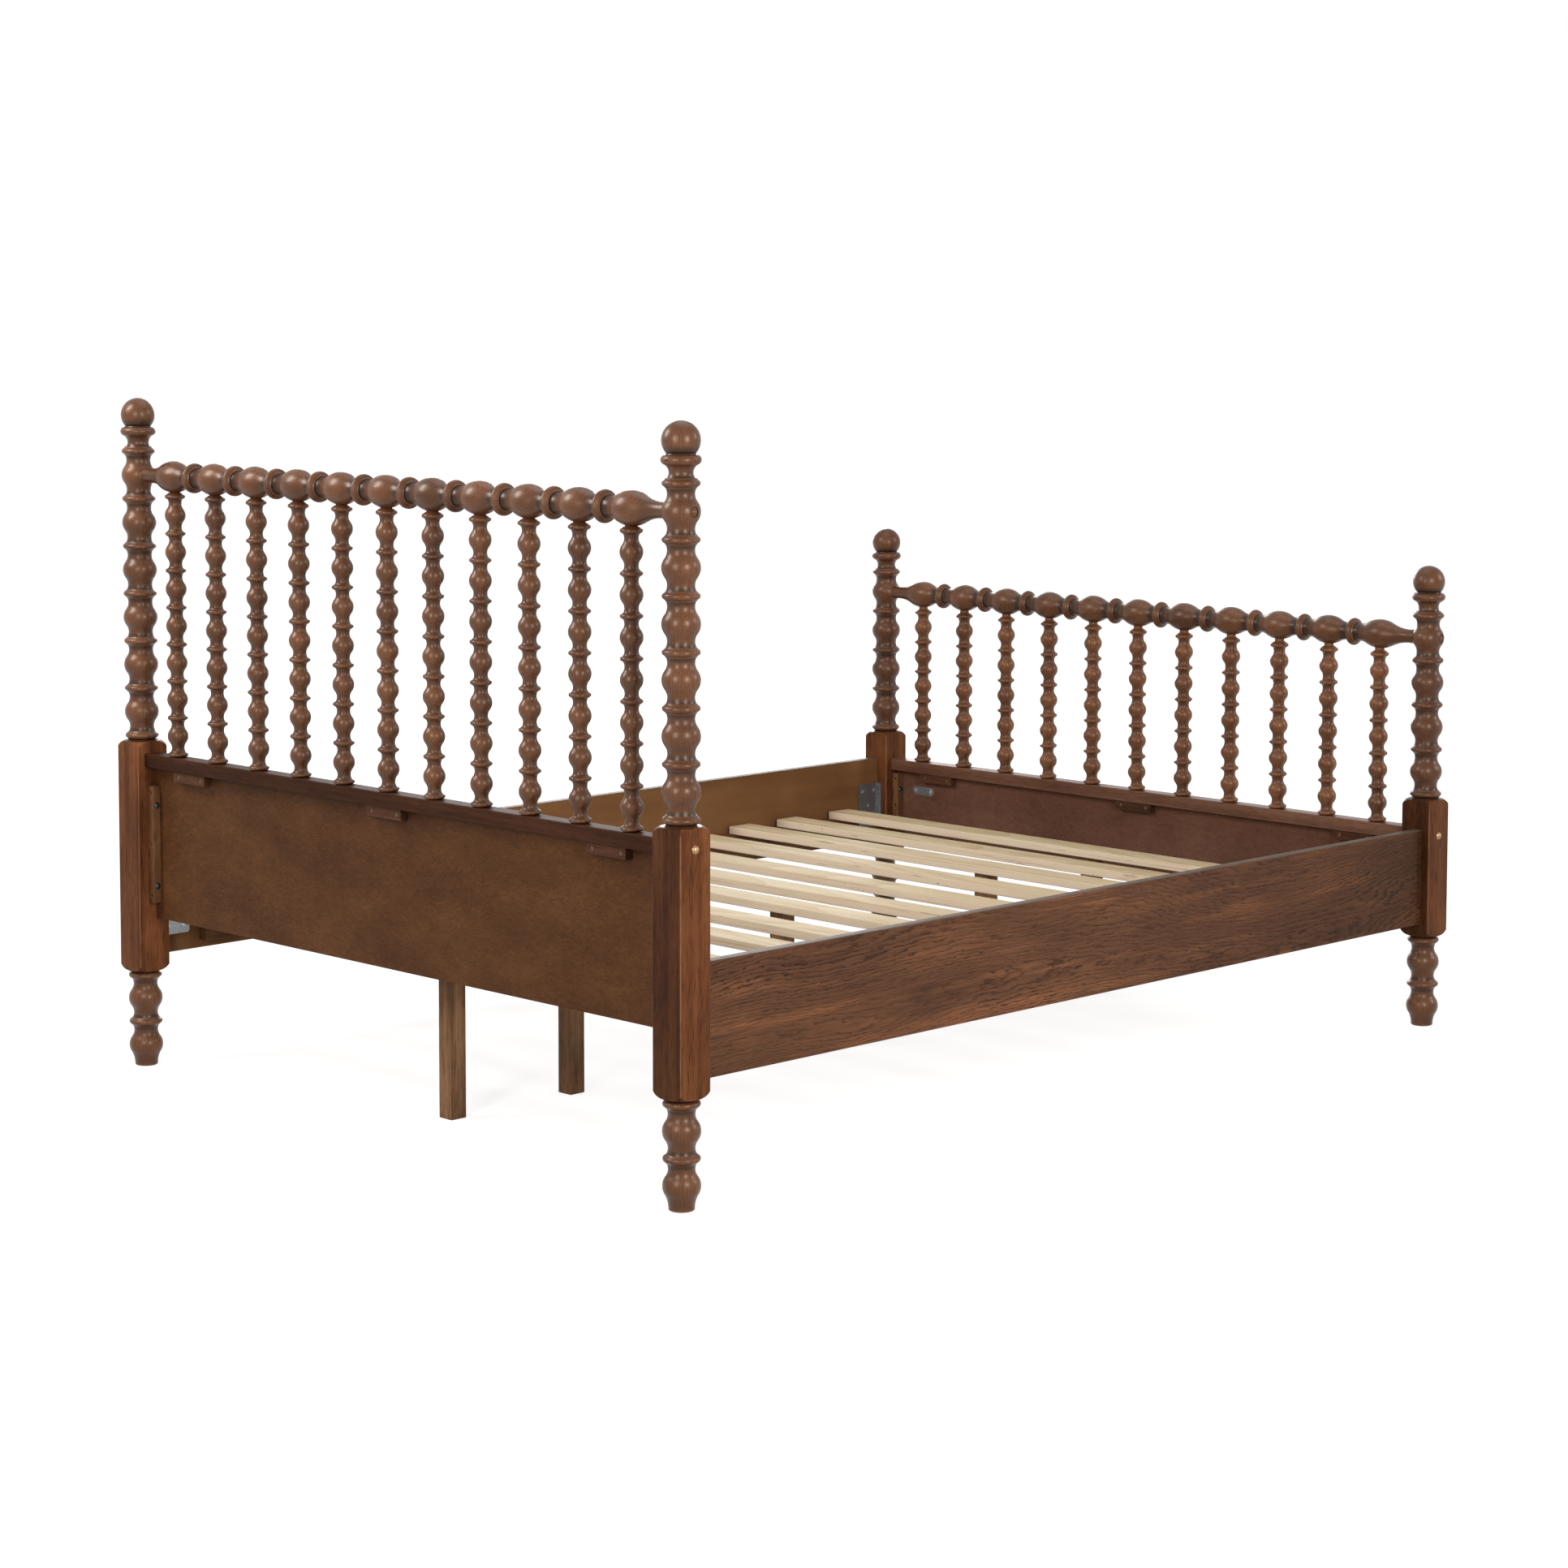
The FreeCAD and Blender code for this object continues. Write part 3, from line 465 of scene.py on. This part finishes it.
def metal(name):
    # two close tones and a roughness that both follow a fine cloudy noise
    kind = metals[name]
    tree = Tree(name)
    grain = tree.noise(None, 420, 420, 1.0, 3.0, 0.6)
    colour = tree.mix(tree.spread(grain, 0.35, 0.65), kind["colour"], kind["bright"])
    tree.plug(colour, tree.shader.inputs["Base Color"])
    rough = kind["roughness"]
    tree.plug(tree.swing(grain, rough - 0.05, rough + 0.07), tree.shader.inputs["Roughness"])
    tree.shader.inputs["Metallic"].default_value = kind["metallic"]
    tree.bump(grain, metalRelief)
    return tree.material


print("making materials")
turnedPost = postWood("turnedPost", 1.0)
squareStock = postSquareWood("squareStock", 5.0)
finishes = [
    ("post_", turnedPost), ("wood_plugs", turnedPost),
    ("top_rail_head", topRailWood("headTopRail", 2.0, 1.07425)),
    ("top_rail_foot", topRailWood("footTopRail", 2.6, 0.74725)),
    ("spindle", spindleWood("turnedSpindle", 3.0, 0.1202)),
    ("lower_rail_head", boardWood("headLowerRailShaded", "X", 4.0, shadedHeadRailWood)),
    ("lower_rail_foot", boardWood("footLowerRail", "X", 4.4, footRailWood)),
    ("side_rail", sideRailWood("sideRail", 5.0)),
    ("ledger", boardWood("ledgerBatten", "Y", 8.8, battenWood)),
    ("panel_head", panelWood("headPanel", 6.0, headPanelWood)),
    ("panel_foot", panelWood("footPanel", 7.0, footPanelWood)),
    ("glue_blocks", boardWood("glueBlock", "X", 8.0, blockWood)),
    ("panel_cleats", boardWood("panelCleat", "Z", 8.5, battenWood)),
    ("slat_", softWood("slatSoftwood", 9.0)),
    ("centre_leg", boardWood("centreLeg", "Z", 10.0, legWood)),
    ("hook_plates", metal("zinc")), ("slot_plates", bpy.data.materials["zinc"]),
    ("rail_bolts", metal("brass")), ("cleat_bolts", metal("blackSteel")),
]


# Creases spread to their neighbours in two passes, by these shares; below "rim" a point keeps its fold
folds = {"shares": (0.75, 0.6), "rim": -0.15}
sharpAngles = {"node": math.radians(28), "added": math.radians(35)}


def placed(name, data):
    # an object at the origin that shows the data
    thing = bpy.data.objects.new(name, data)
    bpy.context.scene.collection.objects.link(thing)
    return thing


# the fold places the painted crease shade and the painted rim highlight of the turned wood
def foldAttribute(mesh):
    # at each corner point: mean over its edges of (unit edge direction . normal), above 0 in a crease
    count = len(mesh.vertices)
    place = np.empty(count * 3)
    mesh.vertices.foreach_get("co", place)
    place = place.reshape(-1, 3)
    normal = np.empty(count * 3)
    mesh.vertices.foreach_get("normal", normal)
    normal = normal.reshape(-1, 3)
    ends = np.empty(len(mesh.edges) * 2, int)
    mesh.edges.foreach_get("vertices", ends)
    first, second = ends.reshape(-1, 2).T
    step = place[second] - place[first]
    step /= np.maximum(np.linalg.norm(step, axis=1), 1e-9)[:, None]
    total = np.bincount(first, (step * normal[first]).sum(1), count)
    total += np.bincount(second, (-step * normal[second]).sum(1), count)
    edges = np.bincount(first, minlength=count) + np.bincount(second, minlength=count)
    fold = total / np.maximum(edges, 1)
    for share in folds["shares"]:
        wider = fold.copy()
        np.maximum.at(wider, first, fold[second] * share)
        np.maximum.at(wider, second, fold[first] * share)
        fold = np.where(fold < folds["rim"], fold, wider)
    layer = mesh.attributes.new("fold", "FLOAT", "POINT")
    layer.data.foreach_set("value", fold)


def smoothCopy(name, node):
    # the node's own triangles, joined at their shared corners and shaded smooth except at creases
    mesh = node.data.copy()
    mesh.name = name
    joined = bmesh.new()
    joined.from_mesh(mesh)
    bmesh.ops.remove_doubles(joined, verts=joined.verts, dist=2e-6)
    joined.to_mesh(mesh)
    joined.free()
    if "custom_normal" in mesh.attributes:
        mesh.attributes.remove(mesh.attributes["custom_normal"])
    mesh.polygons.foreach_set("use_smooth", [True] * len(mesh.polygons))
    mesh.set_sharp_from_angle(angle=sharpAngles["node"])
    foldAttribute(mesh)
    return placed(name, mesh)


def squareFaces(mesh):
    # faces whose middle lies on the square's flat sides, or further out than any turning, take the
    # second material
    middle = np.empty(len(mesh.polygons) * 3)
    mesh.polygons.foreach_get("center", middle)
    middle = np.abs(middle.reshape(-1, 3)[:, :2]) - [posts["x"], posts["y"]]
    mesh.materials.append(squareStock)
    reach = np.hypot(middle[:, 0], middle[:, 1])
    onSquare = (np.abs(middle).max(1) > squareWood["flat"]) | (reach > squareWood["outside"])
    mesh.polygons.foreach_set("material_index", onSquare.astype(int).tolist())


for name, node in nodes.items():
    material = next(m for prefix, m in finishes if name.startswith(prefix))
    node.data.materials.clear()
    node.data.materials.append(material)
    piece = smoothCopy(name + "-finished", node)
    if name.startswith("post_"):
        squareFaces(piece.data)
    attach(piece, "root")
    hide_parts(name)
print("nodes finished")


def addPiece(name, points, faces, material):
    # one mesh from arrays of points and of four-cornered faces, its normals turned outwards
    mesh = bpy.data.meshes.new(name)
    mesh.from_pydata(points.tolist(), [], faces.tolist())
    joined = bmesh.new()
    joined.from_mesh(mesh)
    bmesh.ops.remove_doubles(joined, verts=joined.verts, dist=1e-6)
    bmesh.ops.recalc_face_normals(joined, faces=joined.faces)
    joined.to_mesh(mesh)
    joined.free()
    mesh.polygons.foreach_set("use_smooth", [True] * len(mesh.polygons))
    mesh.set_sharp_from_angle(angle=sharpAngles["added"])
    mesh.materials.append(material)
    piece = placed(name, mesh)
    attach(piece, "root")


def ringFaces(rows, turns, order):
    # four-cornered faces between rings of points, with the corners in the order given
    row, column = np.meshgrid(np.arange(rows - 1), np.arange(turns), indexing="ij")
    start, following = row * turns + column, row * turns + (column + 1) % turns
    corners = (start, following, following + turns, start + turns)
    return np.stack([corners[k] for k in order], -1).reshape(-1, 4)


screws = {
    "radius": 0.0038, "dome": 0.0007, "rim": 0.0004, "shank": 0.0016, "recess": 0.0011, "turns": 32,
    "shares": (0.0, 0.14, 0.3, 0.46, 0.6, 0.72, 0.88, 1.0, 0.93, 0.45, 0.0),
}


def screwHeads(name, centres, outward, material, lift=0.0):
    # each head: a profile spun about its axis, with a cross sunk where the angle is a quarter turn
    axis = np.array(outward, float)
    side = np.cross(axis, [0.0, 0.0, 1.0] if abs(axis[2]) < 0.5 else [1.0, 0.0, 0.0])
    side /= np.linalg.norm(side)
    other = np.cross(axis, side)
    share = np.array(screws["shares"])
    level = screws["dome"] * (1 - share**2)
    level[8:] = [-screws["rim"], -screws["shank"], -screws["shank"]]
    angle = np.linspace(0, 2 * np.pi, screws["turns"], endpoint=False)
    arm = np.clip(1 - np.abs(np.sin(2 * angle)) * 3.0, 0, 1)
    sunk = np.clip((0.66 - share) * 8, 0, 1) * (np.arange(len(share)) < 6)
    cross = np.maximum(arm[None, :], (share < 0.2)[:, None])
    height = level[:, None] - screws["recess"] * sunk[:, None] * cross
    across = screws["radius"] * share[:, None]
    head = (across * np.cos(angle))[..., None] * side + (across * np.sin(angle))[..., None] * other
    head = (head + (height + lift)[..., None] * axis).reshape(-1, 3)
    faces = ringFaces(len(share), len(angle), (0, 3, 2, 1))
    centres = np.array(centres, float)
    points = (centres[:, None, :] + head[None]).reshape(-1, 3)
    every = (faces[None] + (np.arange(len(centres)) * len(head))[:, None, None]).reshape(-1, 4)
    addPiece(name, points, every, material)


# Places of the screws, in metres, as the holes in the wood have them
blocks = {
    "x": (-0.553, 0.0, 0.553), "inset": 0.033, "drop": 0.0095, "sink": 0.0006,
    "headFace": 0.987, "footFace": -0.963,
}
plates = {
    "face": 0.70475, "end": 0.94325,
    # height, and distances back from the end, of each row
    "rows": ((0.313, (0.014, 0.04825)), (0.2815, (0.031125,)), (0.250, (0.014, 0.04825))),
}
ledgers = {"face": 0.68675, "reach": 0.815, "count": 9, "height": 0.240, "sink": 0.0008}

zincScrew, bronzeScrew = metal("screwZinc"), metal("bronzeScrew")
for end, face in (("head", blocks["headFace"]), ("foot", blocks["footFace"])):
    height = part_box("lower_rail_" + end)[0][2] - blocks["drop"]
    sunk = face - blocks["sink"]
    spots = [(x + s * blocks["inset"], sunk, height) for x in blocks["x"] for s in (-1, 1)]
    screwHeads(end + "BlockScrews", spots, (0, 1, 0), bronzeScrew, -blocks["sink"])
# Named as seen from the head end: "right" is the -X side here, which the nodes' names call left
for side, label in ((-1, "right"), (1, "left")):
    backs = [(back, z) for z, row in plates["rows"] for back in row]
    spots = [(side * plates["face"], s * (plates["end"] - back), z) for back, z in backs for s in (-1, 1)]
    screwHeads(label + "PlateScrews", spots, (-side, 0, 0), zincScrew)
    run = np.linspace(-ledgers["reach"], ledgers["reach"], ledgers["count"])
    spots = [(side * ledgers["face"], y, ledgers["height"]) for y in run.tolist()]
    screwHeads(label + "LedgerScrews", spots, (-side, 0, 0), bronzeScrew, -ledgers["sink"])

barePlate = {
    "centre": (0.6025, -0.979, 0.316), "half": 0.031, "radius": 0.009, "thick": 0.0014, "edge": 0.0005,
    "turns": 48, "screwReach": 0.0215,
}


def pillPlate(name):
    # a long rounded plate: a pill outline drawn inwards in rings, rising over a rounded edge to a flat face
    angle = np.linspace(0, 2 * np.pi, barePlate["turns"], endpoint=False)
    straight = (barePlate["half"] - barePlate["radius"]) * np.sign(np.cos(angle))
    shrink = np.array([0.6, 0.0, 0.0, 0.15, 0.5, 1.0]) * barePlate["edge"]
    shrink = np.append(shrink, [barePlate["radius"] * 0.6, barePlate["radius"]])
    lift = np.append(np.array([0.0, 0.0, 0.5, 0.8, 0.95, 1.0]), [1.0, 1.0]) * barePlate["thick"]
    radius = barePlate["radius"] - shrink
    x = straight[None, :] + radius[:, None] * np.cos(angle)[None, :]
    z = radius[:, None] * np.sin(angle)[None, :]
    y = np.repeat(lift[:, None], len(angle), 1)
    points = np.stack([x, y, z], -1).reshape(-1, 3) + np.array(barePlate["centre"])
    faces = ringFaces(len(radius), len(angle), (0, 1, 2, 3))
    addPiece(name, points, faces, bpy.data.materials["zinc"])


pillPlate("footPanelPlate")
middle = barePlate["centre"]
spots = [(middle[0] + s * barePlate["screwReach"], middle[1] + barePlate["thick"], middle[2]) for s in (-1, 1)]
screwHeads("footPanelPlateScrews", spots, (0, 1, 0), zincScrew)
print("screws and plate placed")

studio = {
    "floorTone": 0.4,
    "floorRadius": 90.0,
    "floorCorners": 96,
    # the floor's glow is lower near the bed as painted shade, rising to white further out
    "floorGlowWithPaintedShade": (0.80, 1.0),
    "paintedShadeReach": (1.6, 4.5),
    "worldTone": 0.12,
    "lamps": [
        # name, place, size, watts, target
        ("frontBoxLeft", (-1.25, 3.35, 1.5), (0.6, 1.3), 46.0, (-0.2, 0.6, 0.6)),
        ("frontBoxRight", (-3.85, 1.40, 1.55), (0.6, 1.3), 84.0, (-0.4, 0.0, 0.5)),
        ("sideBoxLeft", (1.2, 2.15, 2.2), (0.6, 1.0), 44.0, (0.2, 0.7, 0.6)),
        ("sideBoxRight", (-4.9, -4.5, 3.0), (1.2, 2.0), 110.0, (0, 0, 0.5)),
        ("backBox", (4.8, -3.8, 1.9), (2.2, 2.2), 110.0, (0, 0, 0.5)),
        ("ceilingBox", (0.0, -0.3, 4.6), (3.0, 3.0), 44.0, (0, -0.2, 0.4)),
    ],
}


def stageFloor():
    # a wide round disc; to the camera and in reflections it glows, and the glow is lower near the bed as
    # painted shade
    turn = np.linspace(0, 2 * np.pi, studio["floorCorners"], endpoint=False)
    rim = studio["floorRadius"] * np.stack([np.cos(turn), np.sin(turn), np.zeros_like(turn)], 1)
    mesh = bpy.data.meshes.new("floor")
    mesh.from_pydata(rim.tolist(), [], [list(range(len(turn)))])
    floor = placed("floor", mesh)
    tree = Tree("floorWhite")
    tree.shader.inputs["Base Color"].default_value = (studio["floorTone"],) * 3 + (1,)
    tree.shader.inputs["Roughness"].default_value = 1.0
    tree.shader.inputs["Specular IOR Level"].default_value = 0.0
    glow = tree.nodes.new("ShaderNodeEmission")
    x, y, _ = tree.split(tree.place)
    # painted shade: the glow is lower near the bed
    level = tree.spread(axisDistance(tree, x, y), *studio["paintedShadeReach"], *studio["floorGlowWithPaintedShade"], smooth=True)
    tree.plug(tree.times(seenDirectly(tree.nodes, tree.links), level), glow.inputs["Strength"])
    both = tree.nodes.new("ShaderNodeAddShader")
    tree.links.new(tree.shader.outputs[0], both.inputs[0])
    tree.links.new(glow.outputs[0], both.inputs[1])
    tree.links.new(both.outputs[0], tree.nodes["Material Output"].inputs["Surface"])
    mesh.materials.append(tree.material)


def seenDirectly(nodeList, links):
    # 1 for rays from the camera, in a reflection or through glass, otherwise 0
    rays = nodeList.new("ShaderNodeLightPath")
    total = rays.outputs["Is Camera Ray"]
    for kind in ("Is Glossy Ray", "Is Transmission Ray"):
        larger = nodeList.new("ShaderNodeMath")
        larger.operation = "MAXIMUM"
        links.new(total, larger.inputs[0])
        links.new(rays.outputs[kind], larger.inputs[1])
        total = larger.outputs[0]
    return total


def stageWorld():
    # white where it is seen, a plain grey level where it lights
    world = bpy.data.worlds.new("studioWorld")
    world.use_nodes = True
    bpy.context.scene.world = world
    tree = world.node_tree
    level = tree.nodes.new("ShaderNodeMapRange")
    tree.links.new(seenDirectly(tree.nodes, tree.links), level.inputs[0])
    level.inputs["To Min"].default_value = studio["worldTone"]
    level.inputs["To Max"].default_value = 1.0
    background = tree.nodes["Background"]
    background.inputs[0].default_value = (1, 1, 1, 1)
    tree.links.new(level.outputs[0], background.inputs[1])


def softbox(name, place, size, watts, target):
    # a flat lamp of that size and power, turned to face its target
    lamp = bpy.data.lights.new(name, "AREA")
    lamp.shape = "RECTANGLE"
    lamp.size, lamp.size_y = size
    lamp.energy = watts
    holder = placed(name, lamp)
    holder.location = place
    holder.rotation_euler = (Vector(target) - Vector(place)).to_track_quat("-Z", "Y").to_euler()


view = {"place": (-4.5840, 4.5990, 1.4125), "heading": -44.790, "down": 4.770, "roll": 0.09,
        "pixels": 4334.0, "frame": 1932, "sensor": 36.0, "shift": -0.13}


def photoCamera():
    # level turn and tilt in degrees; the lens from its length in pixels of a frame that wide
    lens = bpy.data.cameras.new("photoCamera")
    lens.sensor_width = view["sensor"]
    lens.lens = view["pixels"] / view["frame"] * view["sensor"]
    lens.shift_y = view["shift"]
    lens.clip_start, lens.clip_end = 0.1, 200.0
    camera = placed("photoCamera", lens)
    camera.location = view["place"]
    heading, down = math.radians(view["heading"]), math.radians(view["down"])
    level = math.cos(down)
    forward = Vector((math.cos(heading) * level, math.sin(heading) * level, -math.sin(down)))
    facing = forward.to_track_quat("-Z", "Y")
    camera.rotation_euler = (facing @ Quaternion((0, 0, 1), math.radians(view["roll"]))).to_euler()
    bpy.context.scene.camera = camera


stageFloor()
stageWorld()
for lamp in studio["lamps"]:
    softbox(*lamp)
photoCamera()
bpy.context.scene.view_settings.view_transform = "Standard"
print("studio ready")
